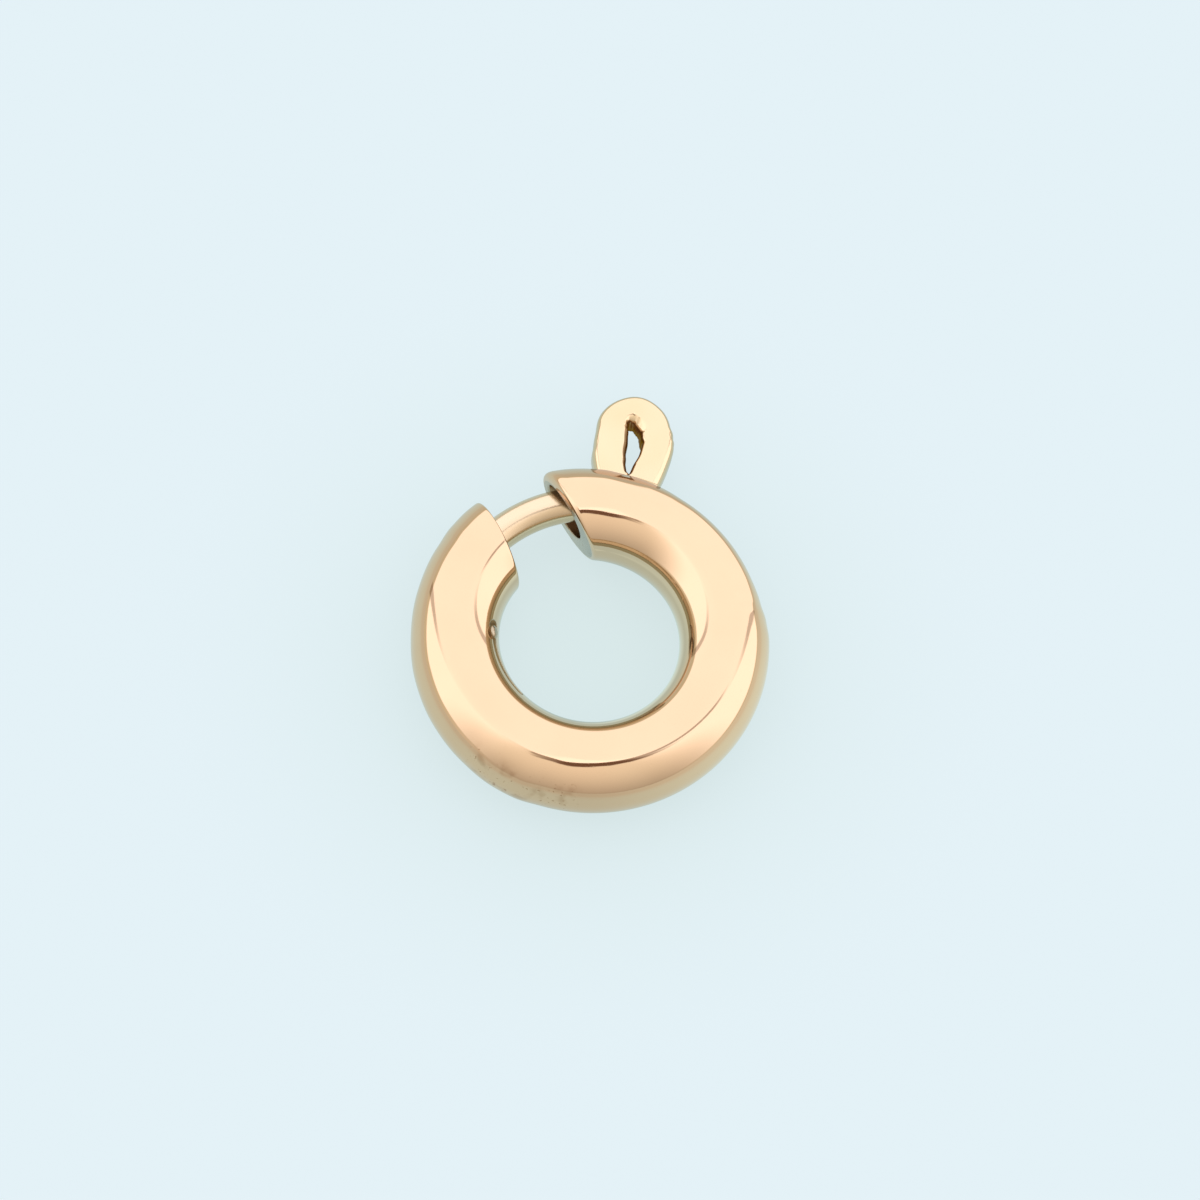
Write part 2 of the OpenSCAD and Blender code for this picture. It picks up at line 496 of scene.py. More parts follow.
def loopPath():
    # the wire's middle line as arcs: centre, radius, first and last angle in radians
    rise = loop["bowOut"] - loop["footOut"]
    leftSwing = math.asin(rise / loop["leftLegRadius"])
    rightSwing = math.asin(rise / loop["rightLegRadius"])
    centres = [Vector((side, loop["bowOut"], midHeight)) for side in (
        loop["leftLegRadius"] - loop["bowRadius"], 0, loop["bowRadius"] - loop["rightLegRadius"])]
    return [
        (centres[0], loop["leftLegRadius"], math.pi + leftSwing, math.pi),
        (centres[1], loop["bowRadius"], math.pi, 0.0),
        (centres[2], loop["rightLegRadius"], 0.0, -rightSwing),
    ]


def alongArcs(arcs, distance):
    # the point at a distance along the arcs, the direction away from the centre of its arc, and its place
    for k, (centre, radius, first, last) in enumerate(arcs):
        length = radius * abs(last - first)
        if distance <= length or k == len(arcs) - 1:
            angle = first + (last - first) * distance / length
            outward = Vector((math.cos(angle), math.sin(angle), 0))
            return centre + outward * radius, outward, k + distance / length
        distance -= length


def tubeDepth(point):
    # how far outside the ring's metal a point is
    out = math.hypot(point.x, point.y) - ringRadius
    return math.hypot(out, point.z - midHeight) - tubeRadius


def ontoTube(point, above):
    out, up = math.hypot(point.x, point.y) - ringRadius, point.z - midHeight
    return pointOnTube(angleOf(point.y, point.x), angleOf(up, out), ringRadius, tubeRadius + above)


def buildLoop():
    shell = newShell()
    arcs = loopPath()
    total = sum(radius * abs(last - first) for centre, radius, first, last in arcs)
    sides, rowCount = loop["sides"], loop["rows"]

    def onWire(distance, k):
        middle, outward, place = alongArcs(arcs, distance)
        side = 2 * math.pi * k / sides
        across, upward = math.cos(side), math.sin(side)
        if across < 0:
            power = smoothThrough(loop["squareInside"], place)
            reach = smoothThrough(loop["reachInside"], place)
        else:
            power, reach = loop["squareOutside"], smoothThrough(loop["reachOutside"], place)
        uneven = sum(math.sin(distance * along + around * side + begin)
                     for along, around, begin in loop["waves"])
        size = 1 + loop["unevenness"] * uneven / 2
        size *= (abs(across) ** power + abs(upward) ** power) ** (-1 / power)
        return middle + size * (outward * across * reach + Vector((0, 0, upward * loop["wireRadius"])))

    def footAt(k, fromEnd):
        # where one line along the wire comes out of the ring
        low, high = 0.0, loop["footReach"]
        for step in range(loop["halvings"]):
            middle = (low + high) / 2
            if tubeDepth(onWire(total - middle if fromEnd else middle, k)) > 0:
                high = middle
            else:
                low = middle
        return high

    solder = loop["solder"]
    starts = [footAt(k, False) for k in range(sides)]
    stops = [total - footAt(k, True) for k in range(sides)]
    rows = []
    for i in range(rowCount + 1):
        points = []
        for k in range(sides):
            first, last = starts[k] + solder, stops[k] - solder
            points.append(onWire(first + (last - first) * i / rowCount, k))
        rows.append(addRow(shell, points))
    for i, (a, b) in enumerate(zip(rows, rows[1:])):
        place = alongArcs(arcs, total * (i + 0.5) / rowCount)[2]
        # faces on the hole's wall get the darker gold: painted shade
        wallFrom = smoothThrough(loop["holeWall"], place)
        for k in range(sides):
            n = (k + 1) % sides
            inHole = wallFrom < 360 * (k + 0.5) / sides < 360 - wallFrom
            addFace(shell, (a[k], a[n], b[n], b[k]), "holeGold" if inHole else "loopGold")

    for row, places in ((rows[0], starts), (rows[-1], stops)):
        corner, foot, inside = [], [], []
        for k in range(sides):
            at = onWire(places[k], k)
            away = (at - alongArcs(arcs, places[k])[0]).normalized()
            normal = (ontoTube(at, 1.0) - ontoTube(at, 0.0)).normalized()
            spread = (away - normal * away.dot(normal)).normalized()
            corner.append(at)
            foot.append(ontoTube(at + spread * solder, -loop["solderSunk"]))
            inside.append(ontoTube(at + spread * solder, -loop["rootSunk"]))
        above = [shell["points"][index] for index in row]
        fillet = [row] + rowsBetween(shell, above, corner, foot, loop["solderSteps"])
        fillet += [addRow(shell, foot), addRow(shell, inside)]
        bridge(shell, fillet, "loopGold")
        addFace(shell, fillet[-1], "loopGold")
    return shell


# The bolt: a bent wire with a rounded tip, and the thumb stud on it

bolt = {
    "radius": 0.575,
    "bendRadius": 4.75,
    "offset": 0.22,         # the bend's centre from the ring's axis
    "offsetDirection": 60.0,
    "tipAngle": 104.0,
    "tailAngle": 238.0,
    # the rounded tip: how far it stands out, and how far it is in from the wire's side
    "nose": [(0.0, 0.0), (0.07, 0.012), (0.13, 0.05), (0.17, 0.1), (0.19, 0.15), (0.2, 0.22)],
    "tailRounding": 0.06,
    "tailSteps": 4,
    "sides": 56,
    "rowStep": 1.2,
}

stud = {
    "angle": 193.8,
    "rise": 29.0,           # above the mid-plane, seen from the bolt's wire; the slot has the same
    "rootRadius": 4.595,    # where the bolt's wire is under the stud
    "rootUp": 0.45,         # where the shank begins, from the wire's middle
    "shankRadius": 0.08,
    "flare": 0.02,          # how much the shank widens under the head
    "neck": 1.612,          # from the wire's middle to the underside of the head
    "headRadius": 0.22,
    # the head's outline: how far up from the neck, and how far in from its full radius
    "headOutline": [(0, 0.015), (0.006, 0.004), (0.02, 0), (0.04, 0), (0.055, 0.012), (0.085, 0.07),
                    (0.096, 0.095), (0.1, 0.13)],
    "headShift": -0.1,      # the head is set off its shank, under 0 upwards
    "sides": 40,
}


def boltAngle(angle):
    # the angle round the bolt's own centre of a place at an angle round the ring's axis
    swing = sine(bolt["offsetDirection"] - angle)
    return angle - math.degrees(math.asin(bolt["offset"] * swing / bolt["bendRadius"]))


def buildBolt():
    shell = newShell()
    away = bolt["offsetDirection"]
    centre = Vector((bolt["offset"] * cosine(away), bolt["offset"] * sine(away), midHeight))

    def section(angle, push, radius):
        # a circle of the wire, pushed along it
        outward = Vector((cosine(angle), sine(angle), 0))
        middle = centre + outward * bolt["bendRadius"] + Vector((-outward.y, outward.x, 0)) * push
        return addRow(shell, circleOf(middle, radius, outward, Vector((0, 0, 1)), bolt["sides"]))

    tip, tail = boltAngle(bolt["tipAngle"]), boltAngle(bolt["tailAngle"])
    count = round((tail - tip) / bolt["rowStep"])
    rows = [section(tip, -push, bolt["radius"] - less) for push, less in reversed(bolt["nose"])]
    rounding = bolt["tailRounding"]
    tailEnd = tail - math.degrees(rounding / bolt["bendRadius"])
    rows += [section(tip + (tailEnd - tip) * i / count, 0, bolt["radius"]) for i in range(1, count + 1)]
    for k in range(1, bolt["tailSteps"] + 1):
        swing = 90 * k / bolt["tailSteps"]
        less = rounding * (1 - cosine(swing))
        rows.append(section(tailEnd, rounding * sine(swing), bolt["radius"] - less))
    bridge(shell, rows, "boltGold")
    addFace(shell, rows[0], "boltGold")
    addFace(shell, rows[-1], "boltGold")
    return shell


def buildStud():
    shell = newShell()
    outward = Vector((cosine(stud["angle"]), sine(stud["angle"]), 0))
    root = outward * stud["rootRadius"] + Vector((0, 0, midHeight))
    up = (-outward * cosine(stud["rise"]) + Vector((0, 0, sine(stud["rise"])))).normalized()
    sideways = Vector((-outward.y, outward.x, 0))
    cross = up.cross(sideways)
    neck, shank, flare = stud["neck"], stud["shankRadius"], stud["flare"]
    profile = [(stud["rootUp"], shank), (neck - flare, shank), (neck, shank + flare)]
    profile += [(neck + above, stud["headRadius"] - less) for above, less in stud["headOutline"]]
    rows = []
    for along, radius in profile:
        middle = root + up * along + (cross * stud["headShift"] if along >= neck else Vector())
        rows.append(addRow(shell, circleOf(middle, radius, sideways, cross, stud["sides"])))
    bridge(shell, rows, "studGold")
    addFace(shell, rows[0], "studGold")
    addFace(shell, rows[-1], "studGold")
    return shell


# Shader pieces

def connect(tree, node, inputs):
    # links an input to another node's output, or gives it a value
    for key, value in inputs.items():
        socket = node.inputs[key]
        if isinstance(value, bpy.types.NodeSocket):
            tree.links.new(value, socket)
        elif socket.type == "RGBA":
            socket.default_value = (*value, 1.0)
        else:
            socket.default_value = value


def addNode(tree, kind, inputs=None, **settings):
    node = tree.nodes.new(kind if kind.startswith("NodeGroup") else "ShaderNode" + kind)
    for key, value in settings.items():
        setattr(node, key, value)
    connect(tree, node, inputs or {})
    return node


def calculate(tree, operation, *terms):
    return addNode(tree, "Math", dict(enumerate(terms)), operation=operation).outputs[0]


def ramp(tree, value, low, high, lowOut=0.0, highOut=1.0, kind="SMOOTHSTEP"):
    # goes from lowOut to highOut while value goes from low to high
    ends = {"Value": value, "From Min": low, "From Max": high, "To Min": lowOut, "To Max": highOut}
    return addNode(tree, "MapRange", ends, interpolation_type=kind).outputs[0]


def mixColors(tree, share, a, b):
    mix = addNode(tree, "Mix", {"Factor": share, "A": a, "B": b}, data_type="RGBA")
    return mix.outputs["Result"]


def noiseAt(tree, place, scale, detail, roughness=0.5):
    look = {"Vector": place, "Scale": scale, "Detail": detail, "Roughness": roughness}
    return addNode(tree, "TexNoise", look).outputs[0]


def dotWith(tree, place, vector):
    pair = {0: place, 1: Vector(vector).normalized()}
    return addNode(tree, "VectorMath", pair, operation="DOT_PRODUCT").outputs["Value"]


def lengthOf(tree, place):
    return addNode(tree, "VectorMath", {0: place}, operation="LENGTH").outputs["Value"]


def byRay(tree, ray, other, shader):
    # one shader for rays of a kind, and the other for the rest
    rays = addNode(tree, "LightPath")
    return addNode(tree, "MixShader", {0: rays.outputs[ray], 1: other, 2: shader}).outputs[0]


polishMarks = {
    # two sets of scratches: how the noise is turned, in radians, and its scale per mm along each axis
    "scratches": [((0.2, 0.2, 0.5), (3.0, 38.0, 3.0)), ((0.84, 0.2, 2.1), (34.0, 2.6, 4.0))],
    "scratchNoise": (1.0, 2.0, 0.6),    # scale, detail and roughness
    "scratchValues": (0.62, 0.72),      # a scratch begins and is full at these values of the noise
    "dents": (0.9, 1.5),                # scale per mm and detail
    "pitCells": 0.75,                   # cells per mm, each with a pit in its middle
    "pitSize": (0.02, 0.075),           # a pit is full up to the first of these, and ends at the second
    "dullPatches": (2.4, 4.0),
    "dullValues": (0.5, 0.8),
    "dullMost": 0.5,                    # how far a patch goes from Smooth to Scratched
    "drift": (0.45, 2.0),               # slow change between the two golds
    "driftValues": (0.35, 0.7),
    "heightUnit": 0.000001,             # depths of scratches, dents and pits are in micrometres
}

stains = {
    "color": (0.50, 0.25, 0.11),
    "direction": (-0.21, -1.0, 0.0),    # the stained side, seen from the ring's axis
    "side": (0.93, 0.965),              # it begins and is full at these cosines from that direction,
    "reach": (4.7, 5.2),                # these distances from the axis, in mm,
    "height": (2.75, 2.3),              # and below these heights
    # noise scale per mm, its values where a spot begins and is full, and the most that it hides
    "grains": [(7.5, 0.63, 0.72, 0.75), (1.7, 0.5, 0.75, 0.4)],
    "grainDetail": 2.0,
}

# painted shade: a darker gold towards the ring's axis, used on the bolt
shadeInside = {
    "color": (0.80, 0.57, 0.35),
    "reach": (4.9, 4.5),                # it begins and is full at these distances from the axis, in mm
}


def polishAndShadeGroup():
    # worn polish: fine scratches, soft dents and tiny pits, from places on the surface in millimetres, with
    # stains and a painted shade towards the ring's axis
    group = bpy.data.node_groups.new("wornPolishAndShade", "ShaderNodeTree")
    for name, value in zip(goldSockets, golds["ringGold"]):
        isColor = isinstance(value, tuple)
        kind = "NodeSocketColor" if isColor else "NodeSocketFloat"
        socket = group.interface.new_socket(name=name, in_out="INPUT", socket_type=kind)
        socket.default_value = (*value, 1.0) if isColor else value
    for name, kind in (("Color", "Color"), ("Roughness", "Float"), ("Normal", "Vector")):
        group.interface.new_socket(name=name, in_out="OUTPUT", socket_type="NodeSocket" + kind)
    entry = addNode(group, "NodeGroupInput").outputs
    place = addNode(group, "TexCoord").outputs["Object"]
    inMm = addNode(group, "VectorMath", {0: place, "Scale": 1 / mm}, operation="SCALE").outputs[0]

    streaks = []
    for turned, scale in polishMarks["scratches"]:
        mapping = addNode(group, "Mapping", {"Vector": inMm, "Rotation": turned, "Scale": scale})
        noise = noiseAt(group, mapping.outputs[0], *polishMarks["scratchNoise"])
        streaks.append(ramp(group, noise, *polishMarks["scratchValues"]))
    scratches = calculate(group, "MAXIMUM", *streaks)
    dents = noiseAt(group, inMm, *polishMarks["dents"])
    cells = addNode(group, "TexVoronoi", {"Vector": inMm, "Scale": polishMarks["pitCells"]})
    pits = ramp(group, cells.outputs["Distance"], *polishMarks["pitSize"], 1.0, 0.0)

    # height of the surface
    scratchHeight = calculate(group, "MULTIPLY", scratches, entry["Scratch Depth"])
    dentHeight = calculate(group, "MULTIPLY_ADD", dents, entry["Dents"], scratchHeight)
    height = calculate(group, "SUBTRACT", dentHeight, calculate(group, "MULTIPLY", pits, entry["Pits"]))
    bump = addNode(group, "Bump",
                   {"Strength": 1.0, "Distance": polishMarks["heightUnit"], "Height": height})

    # roughness: smooth, but duller in patches and along scratches
    patches = noiseAt(group, inMm, *polishMarks["dullPatches"])
    dull = ramp(group, patches, *polishMarks["dullValues"], 0.0, polishMarks["dullMost"])
    wear = calculate(group, "MAXIMUM", dull, scratches)
    rough = ramp(group, wear, 0.0, 1.0, entry["Smooth"], entry["Scratched"], "LINEAR")

    # colour: the two golds, with the pits in the deeper one
    drift = noiseAt(group, inMm, *polishMarks["drift"])
    amount = ramp(group, drift, *polishMarks["driftValues"], kind="LINEAR")
    plain = mixColors(group, calculate(group, "MAXIMUM", amount, pits), entry["Gold"], entry["Deep Gold"])

    # brown specks and a soft stain low on the outer side, opposite the loop
    split = addNode(group, "SeparateXYZ", {0: inMm}).outputs
    flatPlace = addNode(group, "CombineXYZ", {"X": split["X"], "Y": split["Y"]})
    fromAxis = lengthOf(group, flatPlace.outputs[0])
    aside = calculate(group, "DIVIDE", dotWith(group, inMm, stains["direction"]), fromAxis)
    grains = []
    for scale, low, high, most in stains["grains"]:
        grains.append(ramp(group, noiseAt(group, inMm, scale, stains["grainDetail"]), low, high, 0.0, most))
    stained = calculate(group, "MAXIMUM", *grains)
    for source, key in ((aside, "side"), (fromAxis, "reach"), (split["Z"], "height")):
        stained = calculate(group, "MULTIPLY", stained, ramp(group, source, *stains[key]))
    stained = calculate(group, "MULTIPLY", stained, entry["Specks"])
    spotted = mixColors(group, stained, plain, stains["color"])

    # painted shade: darker towards the ring's axis
    inwards = calculate(group, "MULTIPLY", ramp(group, fromAxis, *shadeInside["reach"]), entry["Shade Inside"])
    color = mixColors(group, inwards, spotted, shadeInside["color"])
    addNode(group, "NodeGroupOutput", {"Color": color, "Roughness": rough, "Normal": bump.outputs[0]})
    return group


# the golds, with a column for each input of the group above
goldSockets = ("Gold", "Deep Gold", "Smooth", "Scratched", "Scratch Depth", "Dents", "Pits", "Specks",
               "Shade Inside")
# the hollow's, the hole's, the slot's and the stud's golds are darker copies of the ring's gold: painted
# shade
golds = {
    "ringGold": ((1.0, 0.715, 0.485), (0.985, 0.69, 0.465), 0.045, 0.11, 0.05, 1.8, 6.0, 1.0, 0.0),
    "loopGold": ((1.0, 0.785, 0.535), (0.98, 0.74, 0.48), 0.09, 0.18, 0.15, 3.5, 3.0, 0.0, 0.0),
    "boltGold": ((1.0, 0.79, 0.58), (1.0, 0.77, 0.55), 0.18, 0.24, 0.12, 0.8, 0.0, 0.0, 0.6),
    "studGold": ((0.70, 0.57, 0.42), (0.56, 0.45, 0.32), 0.3, 0.45, 0.3, 3.0, 0.0, 0.0, 0.0),
    "boreGold": ((0.62, 0.42, 0.26), (0.45, 0.29, 0.17), 0.28, 0.45, 0.8, 2.0, 0.0, 0.0, 0.0),
    "holeGold": ((0.22, 0.13, 0.06), (0.60, 0.37, 0.19), 0.22, 0.4, 0.6, 3.0, 0.0, 0.0, 0.0),
    "slotGold": ((0.55, 0.49, 0.37), (0.45, 0.40, 0.3), 0.3, 0.45, 0.8, 2.0, 0.0, 0.0, 0.0),
    "endGold": ((0.76, 0.65, 0.50), (0.50, 0.42, 0.31), 0.22, 0.45, 0.8, 8.0, 0.0, 0.0, 0.0),
}

goldInGold = {                  # painted reflection: how each gold looks where another piece of gold mirrors it, a darker colour as painted shade and a glow as painted light
    "ringGold": ((0.42, 0.35, 0.24), (0.045, 0.04, 0.027)),
    "loopGold": ((0.50, 0.42, 0.34), (0.055, 0.045, 0.035)),
    "holeGold": ((0.42, 0.30, 0.20), (0.09, 0.06, 0.035)),
    "boltGold": ((0.58, 0.43, 0.31), (0.06, 0.045, 0.03)),
    "studGold": ((0.50, 0.42, 0.32), (0.06, 0.05, 0.035)),
    "boreGold": ((0.30, 0.24, 0.15), (0.02, 0.018, 0.012)),
    "slotGold": ((0.50, 0.43, 0.31), (0.24, 0.21, 0.14)),
    "endGold": ((0.40, 0.36, 0.28), (0.05, 0.045, 0.035)),
}
mirroredRoughness = 0.2

paleEdge = {                    # painted sheen: gold turns paler where it is seen at a low angle
    "color": (0.90, 0.93, 0.92),
    "from": 0.45,               # 0 is face on and 1 is edge on
    "share": 0.25,
    "inPaintedShade": ("boreGold", "holeGold"),  # painted shade: these stay dark there
    # painted shade: a dark tint for the edges of these golds
    "paintedShadeTint": (0.55, 0.38, 0.22),
}


def goldMaterial(name, group):
    material = bpy.data.materials.new(name)
    material.use_nodes = True
    tree = material.node_tree
    inPaintedShade = name in paleEdge["inPaintedShade"]
    finish = addNode(tree, "Group", dict(zip(goldSockets, golds[name])), node_tree=group).outputs
    # painted sheen: the base colour turns paler towards edge on
    facing = addNode(tree, "LayerWeight", {"Blend": 0.5}).outputs["Facing"]
    pale = ramp(tree, facing, paleEdge["from"], 1.0, 0.0, 0.0 if inPaintedShade else paleEdge["share"])
    shader = tree.nodes["Principled BSDF"]
    connect(tree, shader, {
        "Base Color": mixColors(tree, pale, finish["Color"], paleEdge["color"]),
        "Roughness": finish["Roughness"], "Normal": finish["Normal"], "Metallic": 1.0, "IOR": 1.45,
    })
    # painted shade: the dark tint on the edges of the hollow's and the hole's golds
    if inPaintedShade:
        connect(tree, shader, {"Specular Tint": paleEdge["paintedShadeTint"]})
    # painted reflection for rays that are not the camera's: a fixed darker colour, painted shade, and a glow,
    # painted light
    color, glow = goldInGold[name]
    mirrored = addNode(tree, "BsdfAnisotropic", {"Color": color, "Roughness": mirroredRoughness})
    glowing = addNode(tree, "Emission", {"Color": glow})
    both = addNode(tree, "AddShader", {0: mirrored.outputs[0], 1: glowing.outputs[0]})
    surface = byRay(tree, "Is Camera Ray", both.outputs[0], shader.outputs[0])
    connect(tree, tree.nodes["Material Output"], {"Surface": surface})
    return material


# Floor

floorLook = {
    "radius": 0.6,              # in metres
    "sides": 96,
    "color": (0.775, 0.885, 0.935),
    "shade": (0.715, 0.845, 0.85),          # painted shadow close round the ring
    "shadeFade": (0.0, 15.0),               # it turns to the plain colour between these distances, in mm
    "shadow": 0.16,                         # share of the light that a shadow can take away
    "reflectedNear": (0.46, 0.61, 0.62),    # painted reflection, with painted shade near the ring, as the gold mirrors it: in the eye,
    "nearFade": (2.5, 6.0),
    "reflectedRound": (0.50, 0.60, 0.58),   # round the ring
    "roundFade": (9.0, 22.0),
    "reflectedFar": (0.49, 0.51, 0.46),     # and far off
    "reflectedSides": 0.25,                 # how much brighter it is to both sides
    "reflectedRight": 0.1,                  # and more so to the right
}


def buildFloor():
    mesh = bpy.data.meshes.new("floor")
    work = bmesh.new()
    bmesh.ops.create_circle(work, cap_ends=True, segments=floorLook["sides"], radius=floorLook["radius"])
    work.to_mesh(mesh)
    work.free()
    material = bpy.data.materials.new("palePaper")
    material.use_nodes = True
    tree = material.node_tree
    tree.nodes.clear()
    place = addNode(tree, "TexCoord").outputs["Object"]
    distance = lengthOf(tree, place)

    def blend(fade, a, b):
        # colour a up to the first distance of fade, and b from the second on
        low, high = fade
        return mixColors(tree, ramp(tree, distance, low * mm, high * mm), a, b)

    # as the camera sees it: mostly its own light, with a painted shadow close round the ring
    paper = addNode(tree, "BsdfDiffuse", {"Color": floorLook["color"]})
    glow = addNode(tree, "Emission",
                   {"Color": blend(floorLook["shadeFade"], floorLook["shade"], floorLook["color"])})
    seen = addNode(tree, "MixShader",
                   {0: floorLook["shadow"], 1: glow.outputs[0], 2: paper.outputs[0]})

    # painted reflection: as the gold mirrors it, a glow of its own, darker near the ring as painted shade and
    # brighter to the sides as painted light
    near = blend(floorLook["nearFade"], floorLook["reflectedNear"], floorLook["reflectedRound"])
    color = blend(floorLook["roundFade"], near, floorLook["reflectedFar"])
    split = addNode(tree, "SeparateXYZ", {0: place})
    sideways = calculate(tree, "DIVIDE", split.outputs["X"], distance)
    gain = calculate(tree, "MULTIPLY_ADD", sideways, floorLook["reflectedRight"], floorLook["reflectedSides"])
    strength = calculate(tree, "MULTIPLY_ADD", calculate(tree, "MULTIPLY", sideways, sideways), gain, 1.0)
    mirrored = addNode(tree, "Emission", {"Color": color, "Strength": strength})
    surface = byRay(tree, "Is Glossy Ray", seen.outputs[0], mirrored.outputs[0])
    addNode(tree, "OutputMaterial", {"Surface": surface})
    mesh.materials.append(material)
    newObject("floor", mesh)


# Light tent: a bright sheet behind and above, white sides and a dimmer front, with a seam along the sheet

tent = {
    "sheet": 1.14,                      # brightness of the sheet
    "sheetEdge": 1.36,                  # just inside its seam in front
    "sheetSideEdge": 1.16,              # and at the sides
    "sheetStart": (0.03, 0.045),        # it begins and is full at these distances from the seams' planes
    "edgeFade": (0.06, 0.3),            # and the brighter edge fades over these
    "sideWall": 1.26,
    "frontLow": 0.44,                   # the front wall at the horizon, and what it gains straight up
    "frontGain": 0.42,
    "frontPower": 1.2,
    "frontTint": (1.05, 1.0, 0.88),
    "frontDirection": 280.0,            # where the front wall is, in degrees round the ring
    "frontStart": (0.15, 0.85),         # it begins and is full at these cosines from there
    "rightSeam": (-0.9, 1.0, 0.28),     # planes through the ring that hold the two straight seams
    "leftSeam": (0.45, 1.0, 0.26),
    "seamCorner": 0.03,                 # how softly the two meet
    "seamColor": (0.156, 0.09, 0.06),
    "seamDirection": 300.0,             # where the seam shows darkest, in degrees round the ring
    "seamStart": (0.4, 0.9),
    "wideSeam": (-0.125, -0.085),       # how far out the wide seam in front begins and is full
    "thinSeam": (-0.045, -0.02),        # the same for the thin one
    "seamNoise": (14.0, 3.0),
    "seamRagged": 0.025,
    "thinDark": 0.66,                   # the most that the thin seam hides
    "thinHeights": (0.5, 0.86),         # it shows up to the first of these heights and fades by the second,
    "thinShares": (0.85, 0.08),
    "thinAgain": (0.2, 0.4),            # and comes back in front
    "thinAgainHeights": (0.8, 0.88),    # from these heights on
    "horizonDark": 0.47,
    "horizonPowers": (1.0, 1.02, 1.3),  # the dark line is a little yellow
    "horizonSide": (-0.2, 0.8),         # the line lies higher on the left, and these are its two ends
    "horizonFeet": (0.02, 0.11),        # where it is darkest, at the two ends
    "horizonTops": (0.09, 0.17),        # where it stops
    "horizonFront": 0.9,                # how far the front wall covers it
    "background": (0.775, 0.885, 0.935),
}


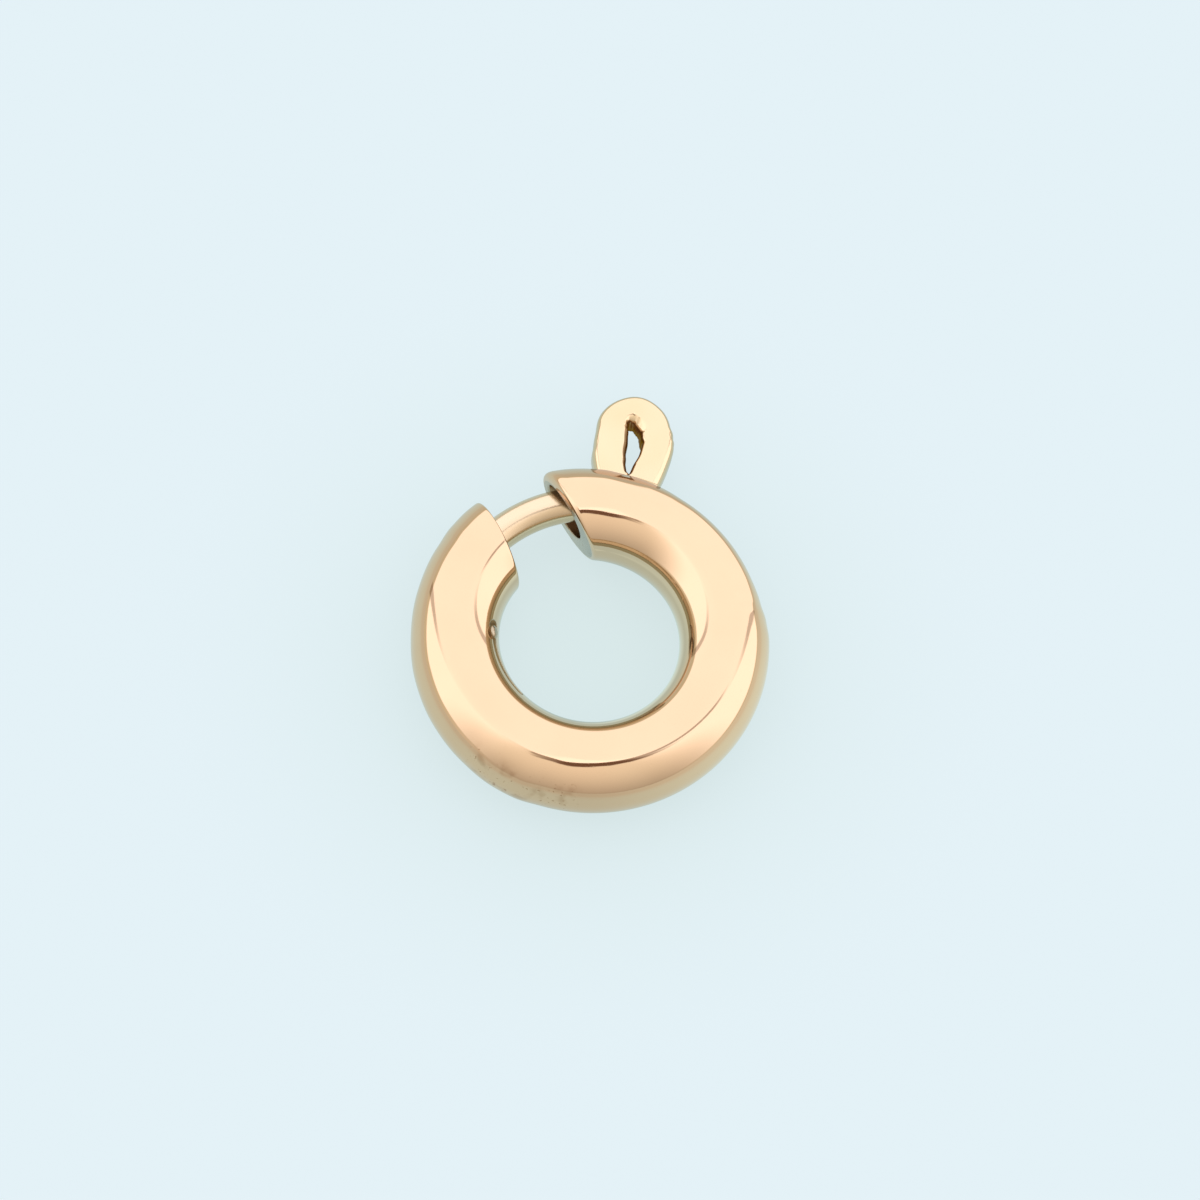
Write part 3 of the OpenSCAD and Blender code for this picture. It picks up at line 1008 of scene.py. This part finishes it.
def buildTent():
    world = bpy.data.worlds.new("lightTent")
    bpy.context.scene.world = world
    world.use_nodes = True
    tree = world.node_tree
    tree.nodes.clear()
    direction = addNode(tree, "TexCoord").outputs["Generated"]
    split = addNode(tree, "SeparateXYZ", {0: direction}).outputs
    toRight, height = split["X"], split["Z"]

    def times(a, b):
        return calculate(tree, "MULTIPLY", a, b)

    def mixed(share, a, b):
        # a where share is 0, b where it is 1
        return calculate(tree, "ADD", times(a, calculate(tree, "SUBTRACT", 1.0, share)), times(b, share))

    squares = calculate(tree, "ADD", times(toRight, toRight), times(split["Y"], split["Y"]))
    level = calculate(tree, "MAXIMUM", calculate(tree, "SQRT", squares), 0.001)

    def towards(degrees):
        # the cosine, seen from above, between a direction round the ring and where the light comes from
        turn = math.radians(degrees)
        return calculate(tree, "DIVIDE", dotWith(tree, direction, (math.cos(turn), math.sin(turn), 0)), level)

    # walls outside the sheet
    frontness = ramp(tree, towards(tent["frontDirection"]), *tent["frontStart"])
    upward = calculate(tree, "POWER", calculate(tree, "MAXIMUM", height, 0.0), tent["frontPower"])
    frontWall = calculate(tree, "MULTIPLY_ADD", upward, tent["frontGain"], tent["frontLow"])
    walls = mixed(frontness, tent["sideWall"], frontWall)

    # the sheet, with a brighter edge
    rightSeam, leftSeam = (dotWith(tree, direction, tent[side]) for side in ("rightSeam", "leftSeam"))
    edge = calculate(tree, "SMOOTH_MIN", rightSeam, leftSeam, tent["seamCorner"])
    towardsSeam = towards(tent["seamDirection"])
    seamShare = ramp(tree, towardsSeam, *tent["seamStart"])
    edgeLight = mixed(seamShare, tent["sheetSideEdge"], tent["sheetEdge"])
    sheet = ramp(tree, edge, *tent["edgeFade"], edgeLight, tent["sheet"])
    onSheet = ramp(tree, edge, *tent["sheetStart"])
    light = mixed(onSheet, walls, sheet)

    # the seam: dark, wide and a little ragged in front, thin at the sides
    ragged = calculate(tree, "SUBTRACT", noiseAt(tree, direction, *tent["seamNoise"]), 0.5)
    shifted = calculate(tree, "MULTIPLY_ADD", ragged, 2 * tent["seamRagged"], edge)
    outside = ramp(tree, edge, *tent["sheetStart"], 1.0, 0.0)
    wide = times(ramp(tree, shifted, *tent["wideSeam"]), outside)
    thin = times(ramp(tree, edge, *tent["thinSeam"]), outside)
    alongSeam = ramp(tree, calculate(tree, "ADD", towardsSeam, toRight), *tent["thinAgain"])
    thinShare = calculate(tree, "MAXIMUM", ramp(tree, height, *tent["thinHeights"], *tent["thinShares"]),
                          times(alongSeam, ramp(tree, height, *tent["thinAgainHeights"])))
    thin = times(times(thin, thinShare), tent["thinDark"])
    seam = calculate(tree, "MAXIMUM", times(wide, seamShare), thin)

    # the dark line where the walls meet the ground
    left = times(toRight, -1.0)
    bandLow, bandTop = (ramp(tree, left, *tent["horizonSide"], *tent[key])
                        for key in ("horizonFeet", "horizonTops"))
    aboveGround = ramp(tree, height, bandLow, bandTop, tent["horizonDark"], 1.0)
    horizon = mixed(times(frontness, tent["horizonFront"]), aboveGround, 1.0)
    tinted = times(frontness, calculate(tree, "SUBTRACT", 1.0, onSheet))

    shades = {}
    for key, tint, power in zip(("Red", "Green", "Blue"), tent["frontTint"], tent["horizonPowers"]):
        lit = times(light, calculate(tree, "POWER", horizon, power))
        shades[key] = times(lit, mixed(tinted, 1.0, tint))
    plain = addNode(tree, "CombineColor", shades)
    withSeam = mixColors(tree, seam, plain.outputs[0], tent["seamColor"])
    shining = addNode(tree, "Background", {"Color": withSeam})
    seen = addNode(tree, "Background", {"Color": tent["background"]})
    surface = byRay(tree, "Is Camera Ray", shining.outputs[0], seen.outputs[0])
    addNode(tree, "OutputWorld", {"Surface": surface})


# Camera, where the photographer stood

camera = {
    "lens": 149.1,
    "sensor": 36,               # its width, in millimetres
    "distance": 165.0,          # from the middle of the ring, in millimetres
    "towards": (0.0055, -0.3731, 0.9278),
    "up": (-0.2070, 0.9073, 0.3661),
    "shiftX": 0.00887,          # the ring lies a little left of the picture's middle and below it
    "shiftY": 0.03347,
    "clip": (0.01, 10),         # in metres
}


def buildCamera():
    data = bpy.data.cameras.new("photoCamera")
    data.lens = camera["lens"]
    data.sensor_width = camera["sensor"]
    data.shift_x = camera["shiftX"]
    data.shift_y = camera["shiftY"]
    data.clip_start, data.clip_end = camera["clip"]
    item = newObject("photoCamera", data)
    back = Vector(camera["towards"]).normalized()
    up = Vector(camera["up"]).normalized()
    right = up.cross(back).normalized()
    up = back.cross(right)
    place = back * camera["distance"] * mm + Vector((0, 0, midHeight * mm))
    turnedTo = Matrix((right, up, back)).transposed()
    item.matrix_world = Matrix.LocRotScale(place, turnedTo, Vector((1, 1, 1)))
    bpy.context.scene.camera = item


print("materials")
polish = polishAndShadeGroup()
materials = {name: goldMaterial(name, polish) for name in golds}

print("ring and loop")
ringGolds = ("ringGold", "boreGold", "loopGold", "slotGold", "holeGold", "endGold")
makePiece("ringWithLoop", [buildRing(), buildLoop()], ringGolds, "ring", "ring_body")

print("bolt and stud")
boltGolds = ("boltGold", "studGold")
makePiece("boltWithStud", [buildBolt(), buildStud()], boltGolds, "bolt", "latch_bolt")

print("floor, light and camera")
buildFloor()
buildTent()
buildCamera()
bpy.context.scene.view_settings.view_transform = "Standard"
